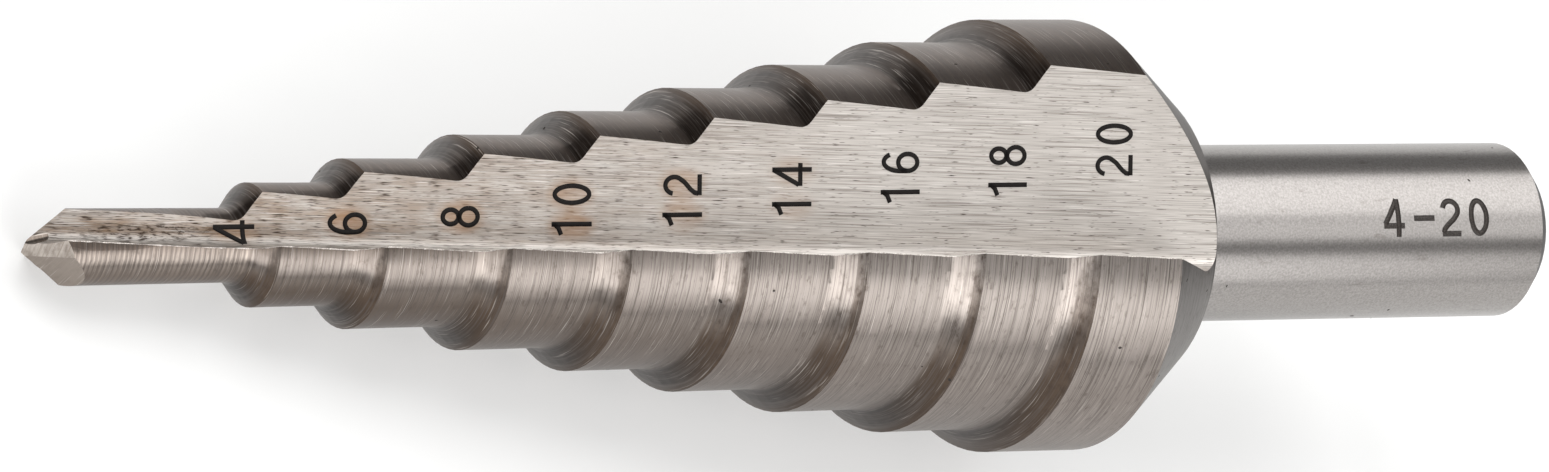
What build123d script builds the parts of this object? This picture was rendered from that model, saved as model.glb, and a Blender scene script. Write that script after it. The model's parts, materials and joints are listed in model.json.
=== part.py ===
from build123d import *
import os
from math import cos, radians, sin, tan

# A step drill for sheet metal: nine ground steps from 4 to 20 mm, two straight flutes,
# a four-facet point and a plain round shank. It is one piece, ground from one bar.
#
# Lengths are in millimetres and angles in degrees. The drill is made in its own frame,
# with x along its axis from the point to the shank. Angles round the axis run from +z
# towards +y. The finished drill is laid down last, as it comes to rest on a bench.

# Overall sizes
TOTAL_LENGTH = 77.5
SHANK_DIAMETER = 8.0
SHANK_CHAMFER = 0.7
SHANK_CORNER_RADIUS = 0.5

# Steps. A length runs from a step's front edge to the next one's; the pilot's starts at the point
SMALLEST_DIAMETER = 4.0
DIAMETER_RISE = 2.0
PILOT_LENGTH = 10.9
SECOND_STEP_LENGTH = 4.7
THIRD_STEP_LENGTH = 5.6
MIDDLE_STEP_LENGTH = 5.44
MIDDLE_STEP_COUNT = 5
LAST_STEP_LENGTH = 4.3
SHOULDER_ANGLE = 45.0
SHOULDER_FOOT_RADIUS = 0.8
BACK_TAPER = 0.5

# Rear end of the steps, a turned cone down to the flat face of a collar
REAR_CONE_LENGTH = 4.1
COLLAR_DIAMETER = 13.4

# Relief. Each land is ground about an axis of its own, set off ahead of its cutting edge
CUTTING_EDGE_ANGLE = -5.0
RELIEF_OFFSET = 0.24
RELIEF_LEAD = 65.0

# Flutes. A V groove with a round root runs from the point and climbs away from the axis
CUTTING_FACE_ANGLE = 9.7
FLUTE_ANGLE = 77.5
FLUTE_ROOT_RADIUS = 0.88
FLUTE_CLIMB = 6.95
FLUTE_HEADING = -16.1

# Web thinning. A small round groove climbs out of each flute close to the point
WEB_THICKNESS = 0.58
THINNING_RADIUS = 0.45
THINNING_CLIMB = 17.0
THINNING_HEADING = 48.0

# Point. Two flat facets are ground behind each lip
FIRST_POINT_ANGLE = 114.0
FIRST_CLEARANCE = 31.8
FIRST_FACET_WIDTH = 0.35
SECOND_POINT_ANGLE = 118.0
SECOND_CLEARANCE = 55.0

# How far a cutting shape reaches past the metal that it cuts
OVERRUN = 3.0

step_lengths = [PILOT_LENGTH, SECOND_STEP_LENGTH, THIRD_STEP_LENGTH]
step_lengths += [MIDDLE_STEP_LENGTH] * MIDDLE_STEP_COUNT
step_lengths += [LAST_STEP_LENGTH]
step_radii = [(SMALLEST_DIAMETER + DIAMETER_RISE * n) / 2 for n in range(len(step_lengths))]
step_fronts = [sum(step_lengths[:n]) for n in range(len(step_lengths))]
largest_radius = step_radii[-1]
cone_front = sum(step_lengths)
collar_face = cone_front + REAR_CONE_LENGTH
mid_flute_angle = (CUTTING_EDGE_ANGLE + CUTTING_FACE_ANGLE + FLUTE_ANGLE) / 3


def around(angle: float, distance: float = 1.0) -> Vector:
    """A point in the plane square to the axis, at an angle from +z towards +y."""
    return Vector(0, distance * sin(radians(angle)), distance * cos(radians(angle)))


# ---- Half of the head: one land with all its steps, turned about the relief axis ----

relief_centre = around(CUTTING_EDGE_ANGLE + RELIEF_LEAD, RELIEF_OFFSET)
relief_loss = RELIEF_OFFSET * cos(radians(RELIEF_LEAD))
land_plane = Plane(relief_centre, x_dir=(1, 0, 0), y_dir=around(mid_flute_angle))
parting_plane = Plane((0, 0, 0), x_dir=(1, 0, 0), y_dir=around(mid_flute_angle))

rise = DIAMETER_RISE / 2
taper = tan(radians(BACK_TAPER))
shoulder_length = rise / tan(radians(SHOULDER_ANGLE))
land_points = [(-OVERRUN, 0), (-OVERRUN, step_radii[0] - relief_loss)]
corner_radii = [0, 0]
for front, length, radius in zip(step_fronts[:-1], step_lengths, step_radii):
    land_length = length - shoulder_length
    land_points.append((front + land_length, radius - relief_loss - land_length * taper))
    land_points.append((front + length, radius + rise - relief_loss))
    corner_radii += [SHOULDER_FOOT_RADIUS, 0]
land_points += [(collar_face, largest_radius - relief_loss), (collar_face, 0)]
corner_radii += [0, 0]

with BuildPart() as half_head:
    with BuildSketch(land_plane):
        with BuildLine():
            FilletPolyline(*land_points, radius=corner_radii, close=True)
        make_face()
    revolve(axis=Axis(relief_centre, (1, 0, 0)))
    split(bisect_by=parting_plane, keep=Keep.TOP)

# ---- The drill in its own frame ----

with BuildPart() as drill:
    for turn in (0, 180):
        add(half_head.part.rotate(Axis.X, turn))

    # Rear cone, turned true with the shank
    with BuildSketch(Plane.XY):
        with BuildLine():
            Polyline(
                (cone_front, largest_radius),
                (collar_face, COLLAR_DIAMETER / 2),
                (collar_face + OVERRUN, COLLAR_DIAMETER / 2),
                (collar_face + OVERRUN, largest_radius + OVERRUN),
                (cone_front, largest_radius + OVERRUN),
                close=True,
            )
        make_face()
    revolve(axis=Axis.X, mode=Mode.SUBTRACT)

    # Shank
    with BuildSketch(Plane.YZ.offset(collar_face - OVERRUN)):
        Circle(SHANK_DIAMETER / 2)
    extrude(amount=TOTAL_LENGTH - collar_face + OVERRUN)
    chamfer(drill.faces().sort_by(Axis.X)[-1].edges(), length=SHANK_CHAMFER)
    collar_edges = drill.edges().filter_by_position(Axis.X, collar_face, collar_face)
    fillet(collar_edges.filter_by(GeomType.CIRCLE).sort_by(SortBy.RADIUS)[0], radius=SHANK_CORNER_RADIUS)

    # Flutes
    reach = 2 * largest_radius
    for turn in (0, 180):
        root_side = around(FLUTE_HEADING + turn, sin(radians(FLUTE_CLIMB)))
        root_direction = Vector(cos(radians(FLUTE_CLIMB)), 0, 0) + root_side
        groove_plane = Plane((0, 0, 0), x_dir=around(CUTTING_FACE_ANGLE + turn), z_dir=-root_direction)
        with BuildSketch(groove_plane.offset(OVERRUN)):
            with BuildLine():
                FilletPolyline(
                    (0, 0),
                    (reach, 0),
                    (reach * cos(radians(FLUTE_ANGLE)), reach * sin(radians(FLUTE_ANGLE))),
                    radius=[FLUTE_ROOT_RADIUS, 0, 0],
                    close=True,
                )
            make_face()
        extrude(amount=-(collar_face + 2 * OVERRUN), mode=Mode.SUBTRACT)

    # Web thinning
    for turn in (0, 180):
        wheel_side = around(THINNING_HEADING + turn, sin(radians(THINNING_CLIMB)))
        wheel_direction = Vector(cos(radians(THINNING_CLIMB)), 0, 0) + wheel_side
        wheel_middle = around(THINNING_HEADING + turn, WEB_THICKNESS / 2 + THINNING_RADIUS)
        with BuildSketch(Plane(wheel_middle, z_dir=wheel_direction)):
            Circle(THINNING_RADIUS)
        extrude(amount=OVERRUN, both=True, mode=Mode.SUBTRACT)

    # Point facets
    first_fall = tan(radians(FIRST_CLEARANCE))
    second_fall = tan(radians(SECOND_CLEARANCE))
    second_start = FIRST_FACET_WIDTH * (first_fall - second_fall)
    first_facet = (0, first_fall, FIRST_POINT_ANGLE)
    second_facet = (second_start, second_fall, SECOND_POINT_ANGLE)
    for turn in (0, 180):
        for start, fall, point_angle in (first_facet, second_facet):
            slope = 1 / tan(radians(point_angle / 2))
            normal = Vector(1, 0, 0) - around(turn, slope) + around(turn + 90, fall)
            split(bisect_by=Plane((start, 0, 0), z_dir=normal), keep=Keep.TOP)

# ---- Laid down on one flute: on the two front corners of the largest step and on the lip's ----

largest_front = step_fronts[-1]
front_corners = drill.vertices().filter_by_position(Axis.X, largest_front - 0.01, largest_front + 0.01)
point_corners = drill.vertices().filter_by_position(Axis.X, 0, step_radii[0])
heel_corner, cutting_corner = [corner.center() for corner in front_corners.sort_by(Axis.Z)[-2:]]
lip_corner = point_corners.sort_by(Axis.Z)[-1].center()
bench_normal = (heel_corner - lip_corner).cross(cutting_corner - lip_corner)
bench = Plane(lip_corner, x_dir=(1, 0, 0), z_dir=bench_normal)
lying = bench.to_local_coords(drill.part)
middle = lying.bounding_box().center()

with BuildPart() as step_drill:
    add(lying.translate((-middle.X, -middle.Y, 0)))

step_drill.part.label = "step_drill"
os.makedirs("parts", exist_ok=True)
export_step(step_drill.part, "parts/step_drill.step")
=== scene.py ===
"""A step drill for holes from 4 to 20 mm, lying on a pale table.

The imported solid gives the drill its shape. This script copies that solid as one closed mesh, finds
each ground surface on it and gives each its finish. It adds the size numbers, the burrs and the pits,
and sets up the table, the soft lamps and the camera.
"""

import json
import logging
import math
from collections.abc import Callable
from dataclasses import dataclass, field
from enum import Enum
from typing import ClassVar

import bmesh
import bpy
from mathutils import Matrix, Vector
from mathutils.bvhtree import BVHTree


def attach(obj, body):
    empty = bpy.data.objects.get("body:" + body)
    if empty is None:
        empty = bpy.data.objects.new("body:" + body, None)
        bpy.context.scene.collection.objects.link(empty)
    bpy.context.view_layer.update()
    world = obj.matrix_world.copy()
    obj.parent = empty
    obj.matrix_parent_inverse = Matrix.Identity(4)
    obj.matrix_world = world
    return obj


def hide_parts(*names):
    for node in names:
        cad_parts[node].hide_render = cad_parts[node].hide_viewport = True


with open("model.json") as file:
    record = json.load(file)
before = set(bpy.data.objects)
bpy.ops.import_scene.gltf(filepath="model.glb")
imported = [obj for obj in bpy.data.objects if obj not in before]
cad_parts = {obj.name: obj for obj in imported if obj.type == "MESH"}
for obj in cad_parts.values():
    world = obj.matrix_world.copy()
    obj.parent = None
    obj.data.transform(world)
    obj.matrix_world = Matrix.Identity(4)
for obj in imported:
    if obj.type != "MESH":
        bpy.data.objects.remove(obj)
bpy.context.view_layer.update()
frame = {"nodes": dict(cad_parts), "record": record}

LOG = logging.getLogger("step_drill")
MM = 0.001
BODY = "root"
CAD_NODE = "step_drill"
GRIND_MAP = "grind"
SLOPE = "slope"

# Sockets of the colour Mix node, which share their names with its other kinds
MIX_FACTOR = 0
MIX_FIRST = 6
MIX_SECOND = 7
MIX_RESULT = 2

# The Wave node turns its place into radians at this rate, at a Scale of 1
WAVE_RATE = 20

# Degrees from one point of a figure's arc to the next
ARC_STEP = 9

# A pattern's values where a colour starts to show and where nothing else does
Span = tuple[float, float]

# How far something reaches in each direction of its coordinates, in millimetres
Reach = tuple[float, float, float]

# Degrees behind the cutting edge that end before the point's facets begin, so a tone covers them whole
WHOLE_FACET: Span = (-30.0, -20.0)


def linear(code: str) -> tuple[float, float, float, float]:
    """Turns an sRGB hex value into linear colour.

    Args:
        code: The colour as "#RRGGBB".

    Returns:
        Linear red, green and blue, and an alpha of 1.
    """
    parts = [int(code[i : i + 2], 16) / 255 for i in (1, 3, 5)]
    curve = [c / 12.92 if c <= 0.04045 else ((c + 0.055) / 1.055) ** 2.4 for c in parts]
    return (*curve, 1.0)


def add(
    tree: bpy.types.NodeTree, kind: str, inputs: dict | None = None, **settings: object
) -> bpy.types.Node:
    """Adds a node with its settings, values and links.

    Args:
        tree: The node tree that gets the node.
        kind: The node's type name.
        inputs: What each input socket gets, by its name or index: a value, or a socket to link.
        **settings: The node's own properties.

    Returns:
        The new node.
    """
    node = tree.nodes.new(kind)
    for name, value in settings.items():
        setattr(node, name, value)
    for key, value in (inputs or {}).items():
        if isinstance(value, bpy.types.NodeSocket):
            tree.links.new(value, node.inputs[key])
        else:
            node.inputs[key].default_value = value
    return node


def put(name: str, data: bpy.types.ID) -> bpy.types.Object:
    """Adds an object to the scene, at the origin."""
    made = bpy.data.objects.new(name, data)
    bpy.context.scene.collection.objects.link(made)
    return made


@dataclass(frozen=True)
class Bar:
    """The drill's own frame: s runs from the point to the shank, q out of the marked flute face, p up it."""

    tip: Vector
    turn: Matrix

    # From the point to the middle of the length that a chuck grips
    CLAMP_MIDDLE: ClassVar[float] = 67.05 * MM
    # How far the marked flute is rolled back from lying face up
    ROLL: ClassVar[float] = math.radians(24.76)

    @classmethod
    def from_record(cls, record: dict) -> "Bar":
        """Finds the bar from the shank's mount.

        Args:
            record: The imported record.

        Returns:
            The bar's frame as it lies.
        """
        mount = next(m for m in record["mounts"] if m["name"] == "shank")
        axis = Vector(mount["axis"]).normalized()
        level = Vector((0, 0, 1)).cross(axis).normalized()
        over = axis.cross(level)
        up = math.cos(cls.ROLL) * level + math.sin(cls.ROLL) * over
        out = math.cos(cls.ROLL) * over - math.sin(cls.ROLL) * level
        tip = Vector(mount["pos_m"]) - axis * cls.CLAMP_MIDDLE
        return cls(tip, Matrix((axis, up, out)).transposed())

    def local(self, point: Vector) -> Vector:
        """Turns a point of the lying model into the bar's frame, in millimetres."""
        return self.turn.transposed() @ (point - self.tip) / MM

    def local_direction(self, direction: Vector) -> Vector:
        """Turns a direction of the lying model into the bar's frame."""
        return self.turn.transposed() @ direction

    def world(self, point: Vector) -> Vector:
        """Turns a point of the bar's frame, in millimetres, into the lying model."""
        return self.tip + self.turn @ point * MM


class Zone(Enum):
    """The surfaces of the drill, each made in a pass of its own."""

    FLUTE_FACE = "flute_face"
    CUTTING_FACE = "cutting_face"
    PILOT = "pilot"
    LAND = "land"
    REAR_CONE = "rear_cone"
    SHANK = "shank"
    SHANK_END = "shank_end"
    POINT = "point"
    THINNING = "thinning"


@dataclass
class Surface:
    """A metal surface being given its look. Its patterns lie in the bar's frame, in millimetres."""

    material: bpy.types.Material
    tree: bpy.types.NodeTree
    shader: bpy.types.Node
    place: bpy.types.NodeSocket
    along: bpy.types.NodeSocket
    colour: bpy.types.NodeSocket | tuple[float, ...]

    # How much each finer octave of a streak counts against the one before
    OCTAVE_SHARE: ClassVar[float] = 0.6

    @classmethod
    def start(cls, name: str, bar: Bar, colour: str) -> "Surface":
        """Starts a material with a bare metal shader.

        Args:
            name: The material's name.
            bar: The bar's frame.
            colour: The clean metal's colour.

        Returns:
            The surface.
        """
        material = bpy.data.materials.new(name)
        material.use_nodes = True
        tree = material.node_tree
        tree.nodes.clear()
        shader = add(tree, "ShaderNodeBsdfPrincipled", {"Metallic": 1.0})
        add(tree, "ShaderNodeOutputMaterial", {"Surface": shader.outputs["BSDF"]})
        lying = add(tree, "ShaderNodeTexCoord")
        turned = {
            "Vector": lying.outputs["Object"],
            "Location": bar.tip,
            "Rotation": bar.turn.to_euler(),
            "Scale": (MM, MM, MM),
        }
        place = add(tree, "ShaderNodeMapping", turned, vector_type="TEXTURE").outputs["Vector"]
        along = add(tree, "ShaderNodeSeparateXYZ", {"Vector": place}).outputs["X"]
        return cls(material, tree, shader, place, along, linear(colour))

    def streaks(
        self, size: Reach, detail: float = 2.0, place: bpy.types.NodeSocket | None = None
    ) -> bpy.types.NodeSocket:
        """Makes the uneven tone of grinding lines or mottling.

        Args:
            size: How far one streak reaches.
            detail: How many finer octaves are laid over it.
            place: The coordinates that it lies in, if they aren't the bar's.

        Returns:
            A value about 0.5, mostly between 0.3 and 0.7.
        """
        scale = tuple(1 / part for part in size)
        drawn = add(self.tree, "ShaderNodeMapping", {"Vector": place or self.place, "Scale": scale})
        inputs = {
            "Vector": drawn.outputs["Vector"],
            "Scale": 1.0,
            "Detail": detail,
            "Roughness": self.OCTAVE_SHARE,
        }
        return add(self.tree, "ShaderNodeTexNoise", inputs).outputs["Fac"]

    def spot(self, centre: Vector, reach: Reach) -> bpy.types.NodeSocket:
        """Fades from 1 at a place on the bar to 0 where its reach along, up and out of the bar ends."""
        inputs = {"Vector": self.place, "Location": centre, "Scale": reach}
        ball = add(self.tree, "ShaderNodeMapping", inputs, vector_type="TEXTURE")
        inputs = {"Vector": ball.outputs["Vector"]}
        return add(self.tree, "ShaderNodeTexGradient", inputs, gradient_type="SPHERICAL").outputs["Fac"]

    def grind_place(self) -> tuple[bpy.types.NodeSocket, ...]:
        """Reads the grinding map: the place on it, and how far that is across the lines and along them."""
        place = add(self.tree, "ShaderNodeUVMap", uv_map=GRIND_MAP).outputs["UV"]
        parts = add(self.tree, "ShaderNodeSeparateXYZ", {"Vector": place})
        return place, parts.outputs["X"], parts.outputs["Y"]

    def lay(
        self,
        colour: str,
        pattern: bpy.types.NodeSocket,
        share: Span,
        within: bpy.types.NodeSocket | None = None,
        reach: Span = (0.0, 1.0),
    ) -> None:
        """Lays a colour over the surface, where a pattern is strong.

        Args:
            colour: The colour laid on, as a hex value.
            pattern: The pattern.
            share: The pattern's values between which the colour comes in.
            within: A second pattern that keeps the colour to a part of the surface.
            reach: The second pattern's values between which it comes in.
        """
        inputs = {"Value": pattern, "From Min": share[0], "From Max": share[1]}
        amount = add(self.tree, "ShaderNodeMapRange", inputs).outputs["Result"]
        if within:
            inputs = {"Value": within, "From Min": reach[0], "From Max": reach[1]}
            part = add(self.tree, "ShaderNodeMapRange", inputs).outputs["Result"]
            inputs = {0: amount, 1: part}
            amount = add(self.tree, "ShaderNodeMath", inputs, operation="MULTIPLY").outputs["Value"]
        inputs = {MIX_FACTOR: amount, MIX_FIRST: self.colour, MIX_SECOND: linear(colour)}
        self.colour = add(self.tree, "ShaderNodeMix", inputs, data_type="RGBA").outputs[MIX_RESULT]

    def finish(
        self, height: bpy.types.NodeSocket, depth: float, roughness: float, stretch: float
    ) -> bpy.types.Material:
        """Joins the colour, the relief and the gloss to the shader.

        Args:
            height: The relief of the surface, from 0 to 1.
            depth: How deep it is, in millimetres.
            roughness: How matt the metal is.
            stretch: How far the lines stretch a highlight across themselves, from 0 to 1.

        Returns:
            The finished material.
        """
        bump = add(self.tree, "ShaderNodeBump", {"Height": height, "Distance": depth * MM, "Strength": 1.0})
        across = add(self.tree, "ShaderNodeTangent", direction_type="UV_MAP", uv_map=GRIND_MAP)
        links = {
            "Base Color": self.colour,
            "Normal": bump.outputs["Normal"],
            "Tangent": across.outputs["Tangent"],
        }
        for name, socket in links.items():
            self.tree.links.new(socket, self.shader.inputs[name])
        self.shader.inputs["Anisotropic"].default_value = stretch
        self.shader.inputs["Roughness"].default_value = roughness
        return self.material


@dataclass(frozen=True)
class Halo:
    """The brown cloud that a marking laser leaves, in the bar's frame."""

    centre: Vector
    reach: Reach
    strength: float


@dataclass(frozen=True)
class SurfaceGroundSteel:
    """High-speed steel, surface ground lengthwise: pale and matt, with straight lines and torn dashes."""

    name: str = "surface_ground_high_speed_steel_flute"
    clean: str = "#C6C0BA"
    line: str = "#877F78"
    scratch: str = "#E6E1DC"
    dash: str = "#463A32"
    tarnish: str = "#8F7965"
    heat: str = "#997B61"
    root: str = "#DCD6D0"
    roughness: float = 0.40
    stretch: float = 0.55
    # The real lines are about 0.03 mm wide, drawn coarser so that they show
    line_size: Reach = (0.045, 6.0, 1.0)
    line_depth: float = 0.0025
    scratch_size: Reach = (0.045, 2.4, 1.0)
    dash_size: Reach = (0.055, 0.8, 1.0)
    patch_size: Reach = (1.0, 3.2, 1.0)
    pit_size: Reach = (0.12, 0.45, 1.0)
    # How strong each pattern's tone is where its colour comes in
    line_share: Span = (0.46, 0.68)
    scratch_share: Span = (0.58, 0.80)
    dash_share: Span = (0.63, 0.70)
    crowded_dash_share: Span = (0.54, 0.65)
    tarnish_share: Span = (0.28, 0.62)
    root_share: Span = (0.1, 0.5)
    heat_share: Span = (0.1, 0.6)
    pit_share: Span = (0.50, 0.62)
    # The small steps ran hotter than the large ones
    tarnish_reach: Span = (40.0, 7.0)
    # The flute is paler within about half a millimetre of its root
    root_reach: Span = (0.55, 0.2)
    # How the laser's cloud and the rust come in from their borders to their middles
    cloud_reach: Span = (0.0, 0.5)
    rusted_reach: Span = (0.0, 0.45)
    # Where rust pitted the pilot, above its cutting edge
    rust_centre: Vector = Vector((5.8, 0.55, 0.7))
    rust_reach: Reach = (4.5, 0.5, 1.2)

    def material(self, bar: Bar, halos: list[Halo]) -> bpy.types.Material:
        """Makes the material of the flutes.

        Args:
            bar: The bar's frame.
            halos: The clouds that the marking laser left.

        Returns:
            The material.
        """
        surface = Surface.start(self.name, bar, self.clean)
        place, across, _ = surface.grind_place()
        patches = surface.streaks(self.patch_size, detail=4.0, place=place)
        surface.lay(self.tarnish, patches, self.tarnish_share, surface.along, self.tarnish_reach)
        surface.lay(self.root, patches, self.root_share, across, self.root_reach)
        lines = surface.streaks(self.line_size, detail=3.0, place=place)
        surface.lay(self.line, lines, self.line_share)
        scratches = surface.streaks(self.scratch_size, detail=1.0, place=place)
        surface.lay(self.scratch, scratches, self.scratch_share)
        dashes = surface.streaks(self.dash_size, place=place)
        surface.lay(self.dash, dashes, self.dash_share)
        surface.lay(self.dash, dashes, self.crowded_dash_share, surface.along, self.tarnish_reach)
        start, whole = self.heat_share
        for halo in halos:
            cloud = surface.spot(halo.centre, halo.reach)
            share = (start, start + (whole - start) / halo.strength)
            surface.lay(self.heat, patches, share, cloud, self.cloud_reach)
        pits = surface.streaks(self.pit_size, detail=4.0, place=place)
        rust = surface.spot(self.rust_centre, self.rust_reach)
        surface.lay(self.dash, pits, self.pit_share, rust, self.rusted_reach)
        return surface.finish(lines, self.line_depth, self.roughness, self.stretch)


@dataclass(frozen=True)
class FormGroundSteel:
    """High-speed steel, form ground round the bar: its fine rings draw each highlight out along the bar."""

    name: str
    clean: str = "#9C948E"
    line: str = "#5F5752"
    scratch: str = "#C2BAB3"
    # Painted shade for the lands' middles, below their bright band
    painted_mid_shade: str = "#887F79"
    # Painted shade on each land's heel, in place of the shadowed table that it reflects
    heel_painted_shade: str = "#6C6058"
    shoulder: str = "#5A4D43"
    # Painted shade on the shoulders' far ends; on the point, the browner facets' tone
    burn_and_painted_shade: str = "#332A24"
    # Brown tarnish, which on the small steps' lands is also painted shade
    tarnish: str = "#5C5047"
    stain: str = "#4A3F38"
    roughness: float = 0.34
    stretch: float = 0.85
    # The real rings are about 0.02 mm apart, drawn coarser so that they show
    line_size: Reach = (0.055, 5.0, 5.0)
    scratch_size: Reach = (0.044, 2.4, 2.4)
    stain_size: Reach = (0.2, 0.5, 0.5)
    line_depth: float = 0.0016
    # The pitch of the feed marks that a coarse wheel left, in millimetres, or 0, and how uneven they are
    feed: float = 0.0
    feed_unevenness: float = 2.2
    # How strong each pattern's tone is where its colour comes in
    line_share: Span = (0.47, 0.72)
    scratch_share: Span = (0.62, 0.88)
    feed_share: Span = (0.3, 1.4)
    stain_share: Span = (0.56, 0.86)
    shoulder_stain_share: Span = (0.40, 0.75)
    # Where along the bar the tarnish comes in, because the small steps ran hotter. Its darkness there is also
    # painted shade, the table's shadow that the small steps reflect
    tarnish_reach: Span = (42.0, 14.0)
    # From here on, how many degrees behind the cutting edge a tone comes in
    tarnish_behind: Span = (8.0, 44.0)
    # A narrow band along the edge of the small steps takes the tarnish as painted shade, in place of the grey
    # reflection there
    edge_band_painted_shade_behind: Span = (19.0, -4.0)
    # Painted shade: from about 20 degrees behind the cutting edge the lands darken, in place of the dim
    # reflection below their bright band
    painted_mid_shade_behind: Span = (20.0, 46.0)
    # Painted shade darkens the heels further, from 58 degrees behind the edge
    heel_painted_shade_behind: Span = (58.0, 100.0)
    # Brown scale follows the shoulders' crests, and further round spreads down to their feet, where the brown
    # is partly painted shade of the dark that the lower shoulders reflect
    crest_behind: Span = (2.0, 34.0)
    scale_and_shade_behind: Span = (24.0, 42.0)
    # The shoulders' far ends are painted dark, as painted shade of the shadowed table that they reflect
    # beside them; on the point the same colour browns its flatter facets
    burn_and_painted_shade_behind: Span = (36.0, 74.0)
    # From here on, how sloped a shoulder is where a tone comes in
    crest_slope: Span = (0.56, 0.68)
    rim_slope: Span = (0.60, 1.05)
    scale_and_shade_slope: Span = (0.25, 0.50)
    burn_and_painted_shade_slope: Span = (0.06, 0.36)
    stain_slope: Span = (0.4, 0.8)

    def material(self, bar: Bar) -> bpy.types.Material:
        """Makes the material of a surface that was ground round the bar.

        Args:
            bar: The bar's frame.

        Returns:
            The material.
        """
        surface = Surface.start(self.name, bar, self.clean)
        _, _, behind = surface.grind_place()
        sloped = add(surface.tree, "ShaderNodeAttribute", attribute_name=SLOPE).outputs["Fac"]
        # Painted shade from about 20 degrees behind the cutting edge
        surface.lay(self.painted_mid_shade, behind, self.painted_mid_shade_behind)
        # Tarnish, partly painted shade on the small steps' lands
        surface.lay(self.tarnish, surface.along, self.tarnish_reach, behind, self.tarnish_behind)
        # Painted shade in a narrow band along the cutting edge
        surface.lay(self.tarnish, surface.along, self.tarnish_reach, behind, self.edge_band_painted_shade_behind)
        # Painted shade on the heels
        surface.lay(self.heel_painted_shade, behind, self.heel_painted_shade_behind)
        surface.lay(self.shoulder, sloped, self.crest_slope, behind, self.crest_behind)
        # Brown scale, and painted shade, down to the feet of the far shoulders
        surface.lay(self.shoulder, sloped, self.scale_and_shade_slope, behind, self.scale_and_shade_behind)
        # Painted shade on the shoulders' far ends
        surface.lay(self.burn_and_painted_shade, behind, self.burn_and_painted_shade_behind, sloped, self.burn_and_painted_shade_slope)
        surface.lay(self.shoulder, sloped, self.rim_slope, behind, self.crest_behind)
        stains = surface.streaks(self.stain_size, detail=5.0)
        surface.lay(self.stain, stains, self.shoulder_stain_share, sloped, self.stain_slope)
        surface.lay(self.stain, stains, self.stain_share)
        lines = surface.streaks(self.line_size)
        surface.lay(self.line, lines, self.line_share)
        scratches = surface.streaks(self.scratch_size, detail=1.0)
        surface.lay(self.scratch, scratches, self.scratch_share)
        relief = lines
        if self.feed:
            inputs = {
                "Vector": surface.place,
                "Scale": math.tau / (WAVE_RATE * self.feed),
                "Distortion": self.feed_unevenness,
                "Detail": 3.0,
            }
            relief = add(surface.tree, "ShaderNodeTexWave", inputs, bands_direction="X").outputs["Fac"]
            surface.lay(self.line, relief, self.feed_share)
        return surface.finish(relief, self.line_depth, self.roughness, self.stretch)


@dataclass(frozen=True)
class TumbledSteel:
    """Tool steel, centreless ground and then tumbled: satin, with an even grain and a few handling stains."""

    name: str = "tumbled_tool_steel_shank"
    clean: str = "#A29E9B"
    grain: str = "#888481"
    stain: str = "#6E6762"
    roughness: float = 0.28
    stretch: float = 0.3
    # The real grain is about 0.02 mm, drawn coarser so that it shows
    grain_size: Reach = (0.10, 0.10, 0.10)
    grain_depth: float = 0.0012
    grain_share: Span = (0.35, 0.72)
    stain_size: Reach = (1.4, 0.5, 0.5)
    stain_share: Span = (0.64, 0.84)

    def material(self, bar: Bar) -> bpy.types.Material:
        """Makes the shank's material.

        Args:
            bar: The bar's frame.

        Returns:
            The material.
        """
        surface = Surface.start(self.name, bar, self.clean)
        grain = surface.streaks(self.grain_size, detail=3.0)
        surface.lay(self.grain, grain, self.grain_share)
        stains = surface.streaks(self.stain_size, detail=3.0)
        surface.lay(self.stain, stains, self.stain_share)
        return surface.finish(grain, self.grain_depth, self.roughness, self.stretch)


@dataclass(frozen=True)
class MatteLayer:
    """A thin matt layer on the steel, such as a laser's black oxide or the scale in an etched mark."""

    name: str
    dark: str
    light: str
    roughness: float = 0.65
    metallic: float = 0.0
    sheen: float = 0.5
    # The real grain is a few thousandths of a millimetre, drawn coarser so that it shows
    grain: float = 0.06
    grain_share: Span = (0.35, 0.7)

    def material(self) -> bpy.types.Material:
        """Makes the layer's material.

        Returns:
            The material.
        """
        material = bpy.data.materials.new(self.name)
        material.use_nodes = True
        tree = material.node_tree
        shader = tree.nodes["Principled BSDF"]
        shader.inputs["Roughness"].default_value = self.roughness
        shader.inputs["Metallic"].default_value = self.metallic
        shader.inputs["Specular IOR Level"].default_value = self.sheen
        lying = add(tree, "ShaderNodeTexCoord")
        inputs = {"Vector": lying.outputs["Object"], "Scale": 1 / (self.grain * MM), "Detail": 2.0}
        grain = add(tree, "ShaderNodeTexNoise", inputs)
        start, whole = self.grain_share
        inputs = {"Value": grain.outputs["Fac"], "From Min": start, "From Max": whole}
        share = add(tree, "ShaderNodeMapRange", inputs)
        inputs = {
            MIX_FACTOR: share.outputs["Result"],
            MIX_FIRST: linear(self.dark),
            MIX_SECOND: linear(self.light),
        }
        shade = add(tree, "ShaderNodeMix", inputs, data_type="RGBA")
        tree.links.new(shade.outputs[MIX_RESULT], shader.inputs["Base Color"])
        return material


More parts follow.
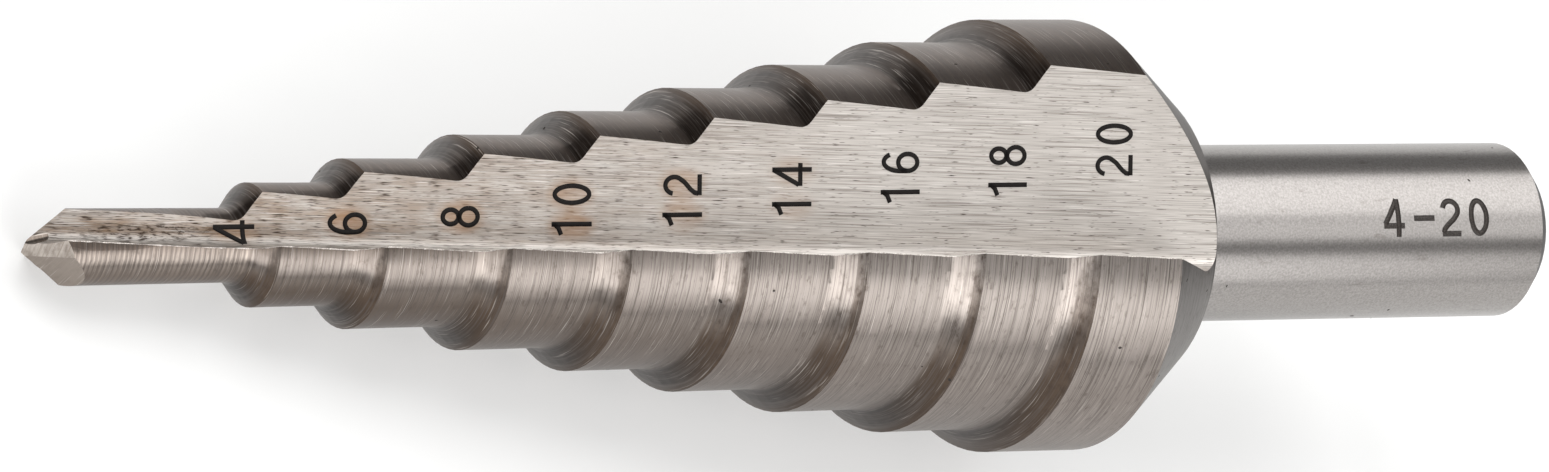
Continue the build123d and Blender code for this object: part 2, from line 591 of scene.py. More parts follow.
class GrowingTree:
    """A geometry node group being built, with its named inputs."""

    def __init__(self, name: str, numbers: dict[str, float]) -> None:
        """Starts the group.

        Args:
            name: The group's name.
            numbers: Its number inputs, each with the value that it gets.
        """
        self.tree = bpy.data.node_groups.new(name, "GeometryNodeTree")
        self.tree.interface.new_socket("Geometry", in_out="INPUT", socket_type="NodeSocketGeometry")
        self.tree.interface.new_socket("Geometry", in_out="OUTPUT", socket_type="NodeSocketGeometry")
        self.values = {}
        for label, value in numbers.items():
            kind = "NodeSocketInt" if isinstance(value, int) else "NodeSocketFloat"
            socket = self.tree.interface.new_socket(label, in_out="INPUT", socket_type=kind)
            self.values[socket.identifier] = value
        self.source = add(self.tree, "NodeGroupInput")

    def close(self, geometry: bpy.types.NodeSocket, material: bpy.types.Material) -> None:
        """Ends the group with real geometry in its material.

        Args:
            geometry: What the group has made.
            material: What it is made of.
        """
        real = add(self.tree, "GeometryNodeRealizeInstances", {"Geometry": geometry})
        inputs = {"Geometry": real.outputs["Geometry"], "Material": material}
        painted = add(self.tree, "GeometryNodeSetMaterial", inputs)
        add(self.tree, "NodeGroupOutput", {"Geometry": painted.outputs["Geometry"]})

    def run(self, source: bpy.types.Object, name: str) -> bpy.types.Object:
        """Runs the group on an object and keeps the result as a plain mesh.

        Args:
            source: The object that it grows from, which is used up.
            name: The result's name.

        Returns:
            The finished piece.
        """
        modifier = source.modifiers.new("grow", "NODES")
        modifier.node_group = self.tree
        for identifier, value in self.values.items():
            modifier[identifier] = value
        return plain_mesh(source, name)


def ribbon_tree(width: float, depth: float, material: bpy.types.Material) -> GrowingTree:
    """Makes flat ribbons that follow curves, as a marking tool's strokes do.

    Args:
        width: The stroke's width, in metres.
        depth: The ribbon's thickness, in metres.
        material: What it is made of.

    Returns:
        The group.
    """
    # Short enough that the figures' bends look round
    step = width / 5
    grown = GrowingTree("marking_strokes", {"Width": width, "Depth": depth, "Step": step})
    tree, source = grown.tree, grown.source
    inputs = {"Curve": source.outputs["Geometry"], "Length": source.outputs["Step"]}
    even = add(tree, "GeometryNodeResampleCurve", inputs, mode="LENGTH")
    upright = add(tree, "GeometryNodeSetCurveNormal", {"Curve": even.outputs["Curve"]}, mode="Z_UP")
    inputs = {"Width": source.outputs["Width"], "Height": source.outputs["Depth"]}
    section = add(tree, "GeometryNodeCurvePrimitiveQuadrilateral", inputs, mode="RECTANGLE")
    inputs = {"Curve": upright.outputs["Curve"], "Profile Curve": section.outputs["Curve"], "Fill Caps": True}
    swept = add(tree, "GeometryNodeCurveToMesh", inputs)
    grown.close(swept.outputs["Mesh"], material)
    return grown


def burr_tree(radius: float, material: bpy.types.Material) -> GrowingTree:
    """Makes the uneven bead of burr that follows a ground edge.

    Args:
        radius: The bead's largest radius, in metres.
        material: What it is made of.

    Returns:
        The group.
    """
    numbers = {
        "Radius": radius,
        "Step": radius * 3,
        "Waves per metre": 2500.0,
        "Noise where thinnest": 0.42,
        "Noise where full": 0.68,
        "Thinnest share": 0.12,
    }
    grown = GrowingTree("edge_burrs", numbers)
    tree, source = grown.tree, grown.source
    chain = add(tree, "GeometryNodeMeshToCurve", {"Mesh": source.outputs["Geometry"]})
    inputs = {"Curve": chain.outputs["Curve"], "Length": source.outputs["Step"]}
    even = add(tree, "GeometryNodeResampleCurve", inputs, mode="LENGTH")
    noise = add(tree, "ShaderNodeTexNoise", {"Scale": source.outputs["Waves per metre"], "Detail": 2.0})
    inputs = {
        "Value": noise.outputs["Fac"],
        "From Min": source.outputs["Noise where thinnest"],
        "From Max": source.outputs["Noise where full"],
        "To Min": source.outputs["Thinnest share"],
        "To Max": 1.0,
    }
    uneven = add(tree, "ShaderNodeMapRange", inputs)
    inputs = {"Resolution": 6, "Radius": source.outputs["Radius"]}
    ring = add(tree, "GeometryNodeCurvePrimitiveCircle", inputs)
    inputs = {
        "Curve": even.outputs["Curve"],
        "Profile Curve": ring.outputs["Curve"],
        "Scale": uneven.outputs["Result"],
        "Fill Caps": True,
    }
    bead = add(tree, "GeometryNodeCurveToMesh", inputs)
    grown.close(bead.outputs["Mesh"], material)
    return grown


def pit_tree(radius: float, density: float, seed: int, material: bpy.types.Material) -> GrowingTree:
    """Scatters shallow dark pits over a surface.

    Args:
        radius: The largest pit's radius, in metres.
        density: How many pits lie on a square metre.
        seed: What the scatter starts from.
        material: What they are made of.

    Returns:
        The group.
    """
    # A pit's length, width and depth, as shares of the largest radius
    smallest = (0.25, 0.25, 0.08)
    largest = (1.0, 0.7, 0.10)
    grown = GrowingTree("surface_pits", {"Radius": radius, "Density": density, "Seed": seed})
    tree, source = grown.tree, grown.source
    inputs = {
        "Mesh": source.outputs["Geometry"],
        "Density": source.outputs["Density"],
        "Seed": source.outputs["Seed"],
    }
    spread = add(tree, "GeometryNodeDistributePointsOnFaces", inputs, distribute_method="RANDOM")
    inputs = {"Segments": 10, "Rings": 5, "Radius": source.outputs["Radius"]}
    ball = add(tree, "GeometryNodeMeshUVSphere", inputs)
    inputs = {"Min": smallest, "Max": largest, "Seed": source.outputs["Seed"]}
    sizes = add(tree, "FunctionNodeRandomValue", inputs, data_type="FLOAT_VECTOR")
    inputs = {
        "Points": spread.outputs["Points"],
        "Instance": ball.outputs["Mesh"],
        "Rotation": spread.outputs["Rotation"],
        "Scale": sizes.outputs["Value"],
    }
    pits = add(tree, "GeometryNodeInstanceOnPoints", inputs)
    grown.close(pits.outputs["Instances"], material)
    return grown


def plain_mesh(source: bpy.types.Object, name: str) -> bpy.types.Object:
    """Turns an object with its modifiers into a plain mesh at the origin, and removes the source.

    Args:
        source: The object to be evaluated.
        name: The new object's name.

    Returns:
        The plain object.
    """
    bpy.context.view_layer.update()
    evaluated = source.evaluated_get(bpy.context.evaluated_depsgraph_get())
    mesh = bpy.data.meshes.new_from_object(evaluated)
    mesh.name = name
    bpy.data.objects.remove(source)
    return put(name, mesh)


def join_to_model(piece: bpy.types.Object) -> None:
    """Fastens a finished piece to the drill and logs how many faces it has."""
    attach(piece, BODY)
    LOG.info("%s: %d faces", piece.name, len(piece.data.polygons))


def arc(
    middle: tuple[float, float], reach: tuple[float, float], turn: tuple[float, float]
) -> list[tuple[float, float]]:
    """Draws an arc of an ellipse.

    Args:
        middle: The ellipse's middle.
        reach: Its half width and half height.
        turn: The angles where the arc starts and ends, in degrees.

    Returns:
        The arc's points.
    """
    sweep = turn[1] - turn[0]
    steps = 1 + int(abs(sweep) / ARC_STEP)
    angles = [math.radians(turn[0] + sweep * i / steps) for i in range(steps + 1)]
    return [(middle[0] + reach[0] * math.cos(a), middle[1] + reach[1] * math.sin(a)) for a in angles]


# The middle lines of plain figures, one unit high. A stroke ends at each sharp corner.
FIGURES = {
    "0": [arc((0.265, 0.5), (0.195, 0.43), (0, 360))],
    "1": [[(0.32, 0.0), (0.32, 1.0)], [(0.34, 0.95), (0.24, 0.83), (0.08, 0.76)]],
    "2": [
        arc((0.262, 0.705), (0.19, 0.225), (170, -35))
        + [(0.33, 0.45), (0.16, 0.29), (0.085, 0.19), (0.07, 0.10)],
        [(0.03, 0.07), (0.51, 0.07)],
    ],
    "4": [[(0.38, 0.98), (0.03, 0.33)], [(0.0, 0.29), (0.53, 0.29)], [(0.38, 0.0), (0.38, 1.0)]],
    "6": [
        arc((0.268, 0.315), (0.197, 0.245), (0, 360)),
        arc((0.285, 0.5), (0.215, 0.43), (40, 180)) + [(0.07, 0.33)],
    ],
    "8": [arc((0.265, 0.735), (0.165, 0.195), (0, 360)), arc((0.265, 0.295), (0.195, 0.225), (0, 360))],
    "-": [[(0.0, 0.48), (0.52, 0.48)]],
}


@dataclass(frozen=True)
class Lettering:
    """How large a line of figures is, in millimetres."""

    height: float
    spacing: float
    stroke: float
    # How far the figures are drawn out sideways
    stretch: float = 1.0

    def strokes(self, text: str, x: float, y: float) -> list[list[Vector]]:
        """Draws a line of figures about a middle.

        Args:
            text: The figures.
            x: The middle's place across.
            y: The middle's place up.

        Returns:
            The middle lines of its strokes.
        """
        lines = []
        wide = self.height * self.stretch
        for index, figure in enumerate(text):
            start = index * self.spacing
            for line in FIGURES[figure]:
                lines.append([Vector((start + a * wide, b * self.height, 0)) for a, b in line])
        across = [point.x for line in lines for point in line]
        shift = Vector((x - (min(across) + max(across)) / 2, y - self.height / 2, 0))
        return [[point + shift for point in line] for line in lines]


@dataclass(frozen=True)
class Marking:
    """Plain figures that a marking tool drew on the steel, as thin ribbons."""

    name: str
    lettering: Lettering
    # Each line's figures, with its middle's place across and up the flat drawing
    lines: tuple[tuple[str, float, float], ...]
    ribbon_depth: float = 0.02

    def build(
        self, to_bar: Callable[[Vector], Vector], bar: Bar, material: bpy.types.Material
    ) -> bpy.types.Object:
        """Draws the figures flat and lays them on the steel.

        Args:
            to_bar: Finds the place on the bar of a place on the flat drawing, in millimetres.
            bar: The bar's frame.
            material: What the marks are made of.

        Returns:
            The figures as one piece.
        """
        drawing = bpy.data.curves.new(self.name, "CURVE")
        drawing.dimensions = "3D"
        for text, x, y in self.lines:
            for line in self.lettering.strokes(text, x, y):
                spline = drawing.splines.new("POLY")
                spline.points.add(len(line) - 1)
                places = [part for point in line for part in (*point * MM, 1.0)]
                spline.points.foreach_set("co", places)
        grown = ribbon_tree(self.lettering.stroke * MM, self.ribbon_depth * MM, material)
        piece = grown.run(put(self.name + "_drawing", drawing), self.name)
        for vertex in piece.data.vertices:
            vertex.co = bar.world(to_bar(vertex.co / MM))
        return piece


@dataclass(frozen=True)
class Flute:
    """One of the two flutes, in the bar's frame: a wide face and a cutting face that meet along a root."""

    face: Vector
    front: Vector
    root: Vector
    root_radius: float = 0.88
    # The cosine past which two directions count as one
    same_way: float = 0.9995
    # How far a facet's middle may lie off the true surface
    slack: float = 0.05

    @classmethod
    def between(cls, face: tuple[Vector, Vector], front: tuple[Vector, Vector]) -> "Flute":
        """Finds the root of two planes.

        Args:
            face: The wide face's normal and a point on it.
            front: The cutting face's normal and a point on it.

        Returns:
            The flute.
        """
        planes = Matrix((face[0], front[0], Vector((1, 0, 0))))
        levels = Vector((face[0].dot(face[1]), front[0].dot(front[1]), face[1].x))
        return cls(face[0], front[0], planes.inverted() @ levels)

    @property
    def run(self) -> Vector:
        """The root's direction."""
        return self.face.cross(self.front).normalized()

    def zone_of(self, centre: Vector, normal: Vector) -> Zone | None:
        """Says whether a facet belongs to this flute.

        Args:
            centre: The facet's middle.
            normal: The facet's normal.

        Returns:
            Its zone, or None.
        """
        away = centre - self.root
        if normal.dot(self.face) > self.same_way and abs(away.dot(self.face)) < self.slack:
            return Zone.FLUTE_FACE
        if normal.dot(self.front) > self.same_way and abs(away.dot(self.front)) < self.slack:
            return Zone.CUTTING_FACE
        run = self.run
        inside = self.face.cross(normal).dot(run) > 0 and normal.cross(self.front).dot(run) > 0
        middle = (self.face + self.front) * (self.root_radius / (1 + self.face.dot(self.front)))
        off = away - middle
        hollow = abs((off - off.dot(run) * run).length - self.root_radius) < self.slack
        return Zone.CUTTING_FACE if inside and hollow else None

    def unroll(self, zone: Zone, normal: Vector, corner: Vector) -> tuple[float, float]:
        """Unrolls a corner on to the flute's own map.

        Args:
            zone: The surface that the corner is on.
            normal: The facet's normal.
            corner: The corner.

        Returns:
            How far it is from the root, which is negative on the cutting face, and how far along the flute.
        """
        run = self.run
        away = corner - self.root
        over = away.dot(run.cross(self.face))
        down = away.dot(self.front.cross(run))
        if zone == Zone.FLUTE_FACE:
            return over, away.dot(run)
        if normal.dot(self.front) > self.same_way:
            return -down, away.dot(run)
        return over - down, away.dot(run)


@dataclass
class DrillBody:
    """The ground bar itself, in millimetres. Lengths run from the point to where a surface starts."""

    bar: Bar
    cone_front: float = 52.7
    collar_face: float = 56.8
    chamfer_front: float = 76.75
    point_length: float = 2.2
    pilot_length: float = 10.0
    shank_radius: float = 4.0
    # Where the marked flute's cutting edge lies round the bar, in degrees
    edge_angle: float = -3.0
    # A lean is how much of a facet's normal runs along the bar. The flutes' flats lean by less than this
    flat_lean: float = 0.3
    # The point's facets, the thinning grooves and the rear cone lean by more than these
    facet_lean: float = 0.4
    groove_lean: float = 0.1
    cone_lean: float = 0.1
    # How far in front of the collar's face a facet still belongs to it
    collar_margin: float = 0.01
    # How much of a shoulder's slope its foot fillet reaches
    hollow: float = 0.55
    # A slope is 0 on a land and 1 up a shoulder, and past this a corner is off the land
    shoulder_slope: float = 0.02
    # Corners meet at a crest where one is flatter than the first of these and one steeper than the second
    land_slope: float = 0.1
    crest_slope: float = 0.95
    # How near two corners count as one, in metres
    weld: float = 1e-7
    flutes: list[Flute] = field(default_factory=list)
    zones: list[Zone] = field(default_factory=list)
    surface: BVHTree | None = None

    @property
    def marked(self) -> Flute:
        """The flute that lies face up and carries the sizes."""
        return max(self.flutes, key=lambda flute: flute.face.z)

    def find_flutes(self, mesh: bpy.types.Mesh) -> None:
        """Finds the flutes from the large flat faces along the bar.

        Args:
            mesh: The drill's mesh.
        """
        facets: dict[tuple[float, ...], tuple[Vector, Vector]] = {}
        areas: dict[tuple[float, ...], float] = {}
        for polygon in mesh.polygons:
            normal = self.bar.local_direction(polygon.normal)
            if abs(normal.x) < self.flat_lean:
                key = tuple(round(part, 2) for part in normal)
                facets.setdefault(key, (normal, self.bar.local(polygon.center)))
                areas[key] = areas.get(key, 0.0) + polygon.area
        largest = sorted(areas, key=areas.get, reverse=True)
        planes = [facets[key] for key in largest[:4]]
        for face in planes[:2]:
            front = max(planes[2:], key=lambda plane: plane[0].y * face[0].z)
            self.flutes.append(Flute.between(face, front))

    def ring_zone(self, centre: Vector, normal: Vector) -> Zone:
        """Names the surface round the bar that a facet belongs to.

        Args:
            centre: The facet's middle, in the bar's frame.
            normal: Its normal, in the bar's frame.

        Returns:
            The zone.
        """
        if centre.x > self.chamfer_front:
            return Zone.SHANK_END
        if centre.x > self.collar_face - self.collar_margin:
            return Zone.SHANK
        if centre.x > self.cone_front and normal.x > self.cone_lean:
            return Zone.REAR_CONE
        if centre.x < self.point_length and normal.x < -self.facet_lean:
            return Zone.POINT
        if centre.x < self.point_length and normal.x < -self.groove_lean:
            return Zone.THINNING
        return Zone.PILOT if centre.x < self.pilot_length else Zone.LAND

    def ring_place(self, zone: Zone, corner: Vector, centre: Vector) -> tuple[float, float]:
        """Places a corner on the map of the surfaces round the bar.

        Args:
            zone: The surface that it is on.
            corner: The corner in the bar's frame, in millimetres.
            centre: The middle of its facet, which keeps the angle from jumping at half a turn.

        Returns:
            How far along the bar it lies, in millimetres, and how far behind its cutting edge, in degrees.
        """
        middle = math.degrees(math.atan2(centre.y, centre.z))
        step = math.degrees(math.atan2(corner.y, corner.z)) - middle
        step = (step + 180) % 360 - 180
        behind = (self.edge_angle - middle) % 180 - step
        return corner.x + (math.hypot(*corner.yz) if zone == Zone.POINT else 0.0), behind

    def build(self) -> bpy.types.Object:
        """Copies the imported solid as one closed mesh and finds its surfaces.

        Returns:
            The drill's body.
        """
        mesh = frame["nodes"][CAD_NODE].data.copy()
        mesh.name = "drill_body"
        # The solid's own normals ride through the weld as an attribute
        carrier = mesh.attributes.new("kept_normal", "FLOAT_VECTOR", "CORNER").name
        parts = [part for normal in mesh.corner_normals for part in normal.vector]
        mesh.attributes[carrier].data.foreach_set("vector", parts)
        work = bmesh.new()
        work.from_mesh(mesh)
        bmesh.ops.remove_doubles(work, verts=work.verts, dist=self.weld)
        work.to_mesh(mesh)
        work.free()
        mesh.shade_smooth()
        normals = [Vector(item.vector) for item in mesh.attributes[carrier].data]
        mesh.attributes.remove(mesh.attributes[carrier])
        self.find_flutes(mesh)
        self.find_surfaces(mesh)
        slopes = self.hollow_shoulders(mesh, normals)
        mesh.normals_split_custom_set(normals)
        mesh.attributes.new(SLOPE, "FLOAT", "CORNER").data.foreach_set("value", slopes)
        corners = [vertex.co for vertex in mesh.vertices]
        self.surface = BVHTree.FromPolygons(corners, [polygon.vertices for polygon in mesh.polygons])
        return put(mesh.name, mesh)

    def hollow_shoulders(self, mesh: bpy.types.Mesh, normals: list[Vector]) -> list[float]:
        """Shades each shoulder as the one broad hollow that a worn wheel leaves, up to its sharp crest.

        Args:
            mesh: The drill's mesh.
            normals: The normal of each corner as the drill lies, which this changes.

        Returns:
            How far each corner's surface faces the point, from 0 on a land to 1 at a crest.
        """
        slopes = [max(0.0, -self.bar.local_direction(normal).x * math.sqrt(2)) for normal in normals]
        ring = [
            loop
            for polygon, zone in zip(mesh.polygons, self.zones)
            if zone in (Zone.LAND, Zone.PILOT)
            for loop in polygon.loop_indices
        ]
        least: dict[int, float] = {}
        for loop in ring:
            vertex = mesh.loops[loop].vertex_index
            least[vertex] = min(slopes[loop], least.get(vertex, 1.0))
        for loop in ring:
            beside_land = least[mesh.loops[loop].vertex_index] < self.land_slope
            crest = slopes[loop] > self.crest_slope and beside_land
            if slopes[loop] > self.shoulder_slope and not crest:
                slopes[loop] *= self.hollow
                lean = slopes[loop] / math.sqrt(2)
                out = self.bar.local_direction(normals[loop])
                out = Vector((0, out.y, out.z)).normalized() * math.sqrt(1 - lean**2)
                normals[loop] = self.bar.turn @ Vector((-lean, out.y, out.z))
        return slopes

    def find_surfaces(self, mesh: bpy.types.Mesh) -> None:
        """Names each facet's surface and draws the grinding map, whose first direction runs across the lines.

        Args:
            mesh: The drill's mesh.
        """
        uv = mesh.uv_layers.new(name=GRIND_MAP).data
        for polygon in mesh.polygons:
            centre = self.bar.local(polygon.center)
            normal = self.bar.local_direction(polygon.normal)
            found = [(flute, flute.zone_of(centre, normal)) for flute in self.flutes]
            flute, zone = next((pair for pair in found if pair[1]), (None, self.ring_zone(centre, normal)))
            self.zones.append(zone)
            for loop in polygon.loop_indices:
                corner = self.bar.local(mesh.vertices[mesh.loops[loop].vertex_index].co)
                if flute:
                    uv[loop].uv = flute.unroll(zone, normal, corner)
                else:
                    uv[loop].uv = self.ring_place(zone, corner, centre)
        for zone in Zone:
            area = sum(p.area for p, z in zip(mesh.polygons, self.zones) if z == zone) / MM**2
            LOG.info("%s: %.1f square millimetres", zone.value, area)

    def dress(self, body: bpy.types.Object, finishes: dict[Zone, bpy.types.Material]) -> None:
        """Gives each surface its finish.

        Args:
            body: The drill's body.
            finishes: The material of each surface.
        """
        body.data.materials.clear()
        order = list(Zone)
        for zone in order:
            body.data.materials.append(finishes[zone])
        for polygon, zone in zip(body.data.polygons, self.zones):
            polygon.material_index = order.index(zone)

    def on_face(self, flat: Vector) -> Vector:
        """Lays a place of a flat drawing, which is read up the flute's face, on the marked flute.

        Args:
            flat: The place on the drawing, and how far it stands off the steel.

        Returns:
            The place in the bar's frame.
        """
        face = self.marked.face
        root = self.marked.root
        s = -flat.y
        p = flat.x
        q = root.z - (face.x * (s - root.x) + face.y * (p - root.y)) / face.z
        above = self.bar.world(Vector((s, p, q)) + face)
        hit = self.surface.ray_cast(above, -(self.bar.turn @ face))[0]
        return self.bar.local(hit) + face * flat.z

    def on_shank(self, flat: Vector) -> Vector:
        """Lays a place of a flat drawing, which is read along the bar, round the shank."""
        angle = flat.y / self.shank_radius
        out = self.shank_radius + flat.z
        return Vector((flat.x, out * math.sin(angle), out * math.cos(angle)))

    def part_of(self, body: bpy.types.Object, wanted: set[Zone], name: str) -> bpy.types.Object:
        """Copies some of the drill's surfaces, for something to be scattered on.

        Args:
            body: The drill's body.
            wanted: The surfaces.
            name: The copy's name.

        Returns:
            The copy.
        """
        mesh = body.data
        kept = [tuple(p.vertices) for p, zone in zip(mesh.polygons, self.zones) if zone in wanted]
        copy = bpy.data.meshes.new(name)
        copy.from_pydata([vertex.co for vertex in mesh.vertices], [], kept)
        return put(name, copy)

    def cutting_edges(self, body: bpy.types.Object, name: str) -> bpy.types.Object:
        """Copies the edges where the cutting faces meet the lands and the shoulders.

        Args:
            body: The drill's body.
            name: The copy's name.

        Returns:
            The copy, which has edges only.
        """
        mesh = body.data
        beside: dict[tuple[int, int], set[Zone]] = {}
        for polygon, zone in zip(mesh.polygons, self.zones):
            for key in polygon.edge_keys:
                beside.setdefault(key, set()).add(zone)
        round_bar = {Zone.PILOT, Zone.LAND}
        sharp = [key for key, zones in beside.items() if Zone.CUTTING_FACE in zones and zones & round_bar]
        copy = bpy.data.meshes.new(name)
        copy.from_pydata([vertex.co for vertex in mesh.vertices], sharp, [])
        return put(name, copy)


@dataclass(frozen=True)
class Marks:
    """The drill's marks, in millimetres: a size on the flute for each step, and the range on the shank."""

    first_size: int = 4
    size_step: int = 2
    first_place: float = 9.58
    pitch: float = 5.25
    size_figures: Lettering = Lettering(height=1.9, spacing=1.4, stroke=0.21)
    # How far up the flute face each size stands
    heights: tuple[float, ...] = (0.56, 0.87, 1.10, 1.33, 1.73, 2.16, 2.58, 2.84, 3.71)
    # The range's parts with their places along the bar, and how far it is turned up the shank, in degrees
    range_parts: tuple[tuple[str, float], ...] = (("4", 68.46), ("-", 70.15), ("20", 72.4))
    range_turn: float = 8.4
    range_figures: Lettering = Lettering(height=1.76, spacing=1.56, stroke=0.26, stretch=1.23)
    # How strongly the laser browned the steel round each of the small sizes
    warmth: tuple[float, ...] = (0.4, 0.9, 0.9, 0.7, 0.55, 0.3)
    # How far the brown cloud reaches from the middle of one figure
    cloud: Reach = (1.35, 0.88, 1.0)

    def size(self, index: int) -> str:
        """Writes the size of a step."""
        return str(self.first_size + self.size_step * index)

    def place(self, index: int) -> float:
        """Says how far from the point a size stands."""
        return self.first_place + self.pitch * index

    def halos(self, drill: DrillBody) -> list[Halo]:
        """Lists the brown clouds round the sizes.

        Args:
            drill: The drill's body.

        Returns:
            A cloud for each figure.
        """
        halos = []
        for index, strength in enumerate(self.warmth):
            count = len(self.size(index))
            for figure in range(count):
                p = self.heights[index] + (figure - (count - 1) / 2) * self.size_figures.spacing
                middle = drill.on_face(Vector((p, -self.place(index), 0)))
                halos.append(Halo(middle, self.cloud, strength))
        return halos

    def build(self, drill: DrillBody) -> list[bpy.types.Object]:
        """Makes the marks.

        Args:
            drill: The drill's body.

        Returns:
            The sizes and the range, as a piece each.
        """
        # An annealing laser leaves a matt black oxide
        black = MatteLayer("laser_annealed_oxide", "#0B0807", "#1B1512", sheen=0.2).material()
        # An etched mark is a shallow grey-brown scale
        etched = MatteLayer(
            "electro_etched_scale", "#1F1A17", "#453E39", roughness=0.5, metallic=0.3
        ).material()
        places = enumerate(self.heights)
        lines = tuple((self.size(index), height, -self.place(index)) for index, height in places)
        sizes = Marking("size_marks", self.size_figures, lines)
        turned = math.radians(self.range_turn) * drill.shank_radius
        lines = tuple((text, along, turned) for text, along in self.range_parts)
        ends = Marking("range_mark", self.range_figures, lines)
        return [
            sizes.build(drill.on_face, drill.bar, black),
            ends.build(drill.on_shank, drill.bar, etched),
        ]


@dataclass(frozen=True)
class Wear:
    """What making and handling left on the steel: burrs on the edges and pits in the round surfaces."""

    burr_radius: float = 0.045
    pit_radius: float = 0.13
    pits_per_square_metre: float = 3.0e4
    seed: int = 7

    def build(self, drill: DrillBody, body: bpy.types.Object) -> list[bpy.types.Object]:
        """Makes the burrs and the pits.

        Args:
            drill: The drill's surfaces.
            body: The drill's body.

        Returns:
            The burrs and the pits, as a piece each.
        """
        # Torn steel is bright where it is fresh
        torn = MatteLayer(
            "torn_high_speed_steel_burr", "#A79E96", "#EDE8E2", roughness=0.42, metallic=1.0
        ).material()
        # A pit's floor is dark because hardly any light gets out of it
        floor = MatteLayer("oxide_pit_floor", "#1D1814", "#3A312B", roughness=0.8).material()
        edges = drill.cutting_edges(body, "burr_lines")
        burrs = burr_tree(self.burr_radius * MM, torn).run(edges, "edge_burrs")
        pitted = drill.part_of(body, {Zone.LAND, Zone.REAR_CONE, Zone.SHANK}, "pitted_surfaces")
        scatter = pit_tree(self.pit_radius * MM, self.pits_per_square_metre, self.seed, floor)
        return [burrs, scatter.run(pitted, "surface_pits")]


@dataclass(frozen=True)
class SoftBox:
    """A soft rectangular lamp, by where it stands, what it faces and how bright its face is."""

    name: str
    place: tuple[float, float, float]
    size: tuple[float, float]
    radiance: float
    aim: tuple[float, float, float] = (0.0, 0.0, 0.008)
    # A lamp that looks down by more than this share counts as high
    high: float = 0.6

    def build(self) -> None:
        """Adds the lamp."""
        data = bpy.data.lights.new(self.name, "AREA")
        data.shape = "RECTANGLE"
        data.size, data.size_y = self.size
        data.energy = self.radiance * math.pi * self.size[0] * self.size[1]
        lamp = put(self.name, data)
        back = (Vector(self.place) - Vector(self.aim)).normalized()
        # A high lamp is squared to the table, and a low one stands upright
        side = Vector((1, 0, 0)) if back.z > self.high else Vector((0, 0, 1)).cross(back)
        side = (side - side.dot(back) * back).normalized()
        turn = Matrix((side, back.cross(side), back)).transposed()
        lamp.matrix_world = Matrix.Translation(self.place) @ turn.to_4x4()
        lamp.visible_camera = False


@dataclass(frozen=True)
class Studio:
    """The table, the lamps and the camera. Angles are in degrees and lengths in metres."""

    azimuth: float = 299.144
    elevation: float = 43.292
    roll: float = 54.564
    distance: float = 0.46822
    target: tuple[float, float, float] = (-0.001325, 0.000093, 0.0071)
    lens: float = 245.87
    table_side: float = 6.0
    table_colour: str = "#FAFAF9"
    table_roughness: float = 0.9
    # How far the table is pure white to the camera and in the steel; the rest of it takes the shadow
    white_share: float = 0.35
    world_level: float = 0.25

    def table(self) -> None:
        """Adds the pale table top."""
        mesh = bpy.data.meshes.new("table")
        half = self.table_side / 2
        corners = [(-half, -half, 0), (half, -half, 0), (half, half, 0), (-half, half, 0)]
        mesh.from_pydata(corners, [], [(0, 1, 2, 3)])
        # A matt laminate shows no reflection of the drill, only its soft shadow
        material = bpy.data.materials.new("matt_white_laminate")
        material.use_nodes = True
        tree = material.node_tree
        matt = tree.nodes["Principled BSDF"]
        matt.inputs["Base Color"].default_value = linear(self.table_colour)
        matt.inputs["Roughness"].default_value = self.table_roughness
        white = add(tree, "ShaderNodeEmission", {"Color": (1.0, 1.0, 1.0, 1.0), "Strength": 1.0})
        ray = add(tree, "ShaderNodeLightPath").outputs
        seen = ray["Is Camera Ray"]
        for other in ("Is Glossy Ray", "Is Transmission Ray"):
            inputs = {0: seen, 1: ray[other]}
            seen = add(tree, "ShaderNodeMath", inputs, operation="ADD", use_clamp=True).outputs["Value"]
        share = add(tree, "ShaderNodeMath", {0: seen, 1: self.white_share}, operation="MULTIPLY")
        inputs = {0: share.outputs["Value"], 1: matt.outputs["BSDF"], 2: white.outputs["Emission"]}
        mixed = add(tree, "ShaderNodeMixShader", inputs)
        tree.links.new(mixed.outputs["Shader"], tree.nodes["Material Output"].inputs["Surface"])
        mesh.materials.append(material)
        put("table", mesh)

    def camera(self) -> None:
        """Adds the camera."""
        az, el, roll = (math.radians(angle) for angle in (self.azimuth, self.elevation, self.roll))
        back = Vector((math.sin(az) * math.cos(el), -math.cos(az) * math.cos(el), math.sin(el)))
        level = Vector((math.cos(az), math.sin(az), 0))
        over = back.cross(level)
        right = math.cos(roll) * level + math.sin(roll) * over
        turn = Matrix((right, back.cross(right), back)).transposed()
        data = bpy.data.cameras.new("camera")
        data.lens = self.lens
        data.clip_start = 0.01
        camera = put("camera", data)
        place = Vector(self.target) + back * self.distance
        camera.matrix_world = Matrix.Translation(place) @ turn.to_4x4()
        bpy.context.scene.camera = camera

    def lamps(self) -> None:
        """Adds the soft lamps and the plain world."""
        boxes = (
            SoftBox("overhead_back", (0.215, 0.155, 0.40), (0.22, 0.41), 2.6),
            SoftBox("overhead_right", (0.23, -0.145, 0.40), (0.16, 0.19), 1.8),
            SoftBox("overhead_front", (0.03, -0.22, 0.40), (0.20, 0.20), 1.0),
            SoftBox("front_right", (0.13, -0.27, 0.11), (0.14, 0.18), 2.5),
            SoftBox("front_left", (-0.05, -0.28, 0.175), (0.22, 0.18), 4.5),
            SoftBox("low_left", (-0.25, -0.16, 0.035), (0.12, 0.07), 2.0),
            SoftBox("back_left", (-0.19, 0.24, 0.42), (0.45, 0.42), 2.7),
        )
        for box in boxes:
            box.build()
        world = bpy.data.worlds.new("plain_room")
        world.use_nodes = True
        level = (self.world_level,) * 3
        world.node_tree.nodes["Background"].inputs["Color"].default_value = (*level, 1.0)
        bpy.context.scene.world = world

    def build(self) -> None:
        """Sets up the whole studio."""
        self.table()
        self.camera()
        self.lamps()
        bpy.context.scene.view_settings.view_transform = "Standard"


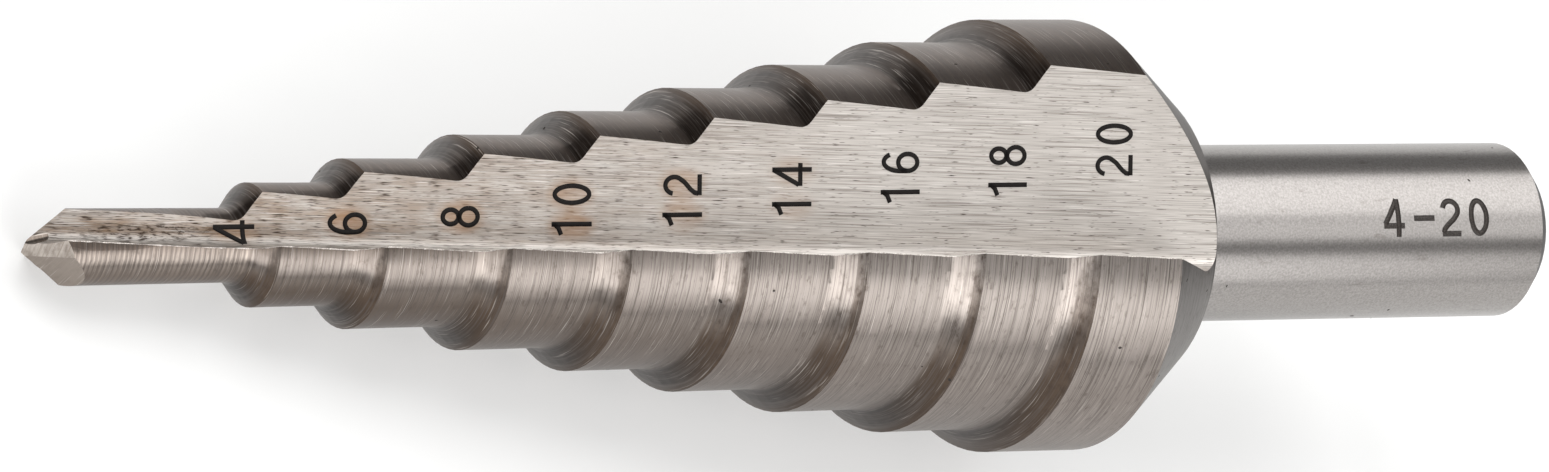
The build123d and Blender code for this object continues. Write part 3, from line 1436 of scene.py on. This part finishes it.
def make_finishes(bar: Bar, halos: list[Halo]) -> dict[Zone, bpy.types.Material]:
    """Makes the material of each of the drill's surfaces.

    Args:
        bar: The bar's frame.
        halos: The clouds that the marking laser left on the flute.

    Returns:
        The materials.
    """
    flute = SurfaceGroundSteel().material(bar, halos)
    land = FormGroundSteel("form_ground_high_speed_steel_land")
    # The pilot took one quick cut from a coarse wheel, so it is brighter and shows the feed
    pilot = FormGroundSteel(
        "form_ground_high_speed_steel_pilot",
        clean="#A89E96",
        tarnish="#7A6E65",
        feed=0.24,
        line_depth=0.0035,
    )
    # The rear cone was turned and never ground, so it is grey with blotches of scale
    cone = FormGroundSteel(
        "turned_high_speed_steel_rear_cone",
        clean="#74706D",
        line="#504B48",
        scratch="#8E8986",
        painted_mid_shade="#74706D",
        # Painted shade on the cone's far side, as on the lands' heels
        heel_painted_shade="#544E4A",
        stain="#3E3733",
        stain_share=(0.52, 0.75),
    )
    # The shank's end kept the black oxide of its hardening
    end = FormGroundSteel(
        "oxidised_tool_steel_shank_end",
        clean="#3A3634",
        line="#2C2927",
        scratch="#5A5552",
        painted_mid_shade="#3A3634",
        heel_painted_shade="#3A3634",
    )
    # A cup wheel ground the point last: the steeper facets at the lips are fresh and pale, the others browner
    point = FormGroundSteel(
        "cup_ground_high_speed_steel_point",
        clean="#BCB3AB",
        line="#978D84",
        scratch="#D6CEC7",
        shoulder="#BCB3AB",
        burn_and_painted_shade="#75695F",
        burn_and_painted_shade_behind=WHOLE_FACET,
        crest_behind=WHOLE_FACET,
        stain="#8A8078",
    )
    # A narrow wheel left the thinning grooves an even, scratched grey
    thinning = FormGroundSteel(
        "wheel_ground_high_speed_steel_thinning",
        clean="#8A8078",
        line="#6A6058",
        scratch="#A0968E",
        painted_mid_shade="#8A8078",
        heel_painted_shade="#8A8078",
        shoulder="#8A8078",
        burn_and_painted_shade="#7A7068",
        crest_behind=WHOLE_FACET,
        stain="#6A6058",
    )
    return {
        Zone.FLUTE_FACE: flute,
        Zone.CUTTING_FACE: flute,
        Zone.PILOT: pilot.material(bar),
        Zone.LAND: land.material(bar),
        Zone.REAR_CONE: cone.material(bar),
        Zone.SHANK: TumbledSteel().material(bar),
        Zone.SHANK_END: end.material(bar),
        Zone.POINT: point.material(bar),
        Zone.THINNING: thinning.material(bar),
    }


def main() -> None:
    """Builds the drill and its studio, and reports each piece."""
    logging.basicConfig(level=logging.INFO, format="%(name)s: %(message)s")
    drill = DrillBody(Bar.from_record(frame["record"]))
    body = drill.build()
    marks = Marks()
    drill.dress(body, make_finishes(drill.bar, marks.halos(drill)))
    pieces = [*marks.build(drill), *Wear().build(drill, body)]
    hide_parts(CAD_NODE)
    join_to_model(body)
    for piece in pieces:
        join_to_model(piece)
    Studio().build()


if __name__ == "__main__":
    main()
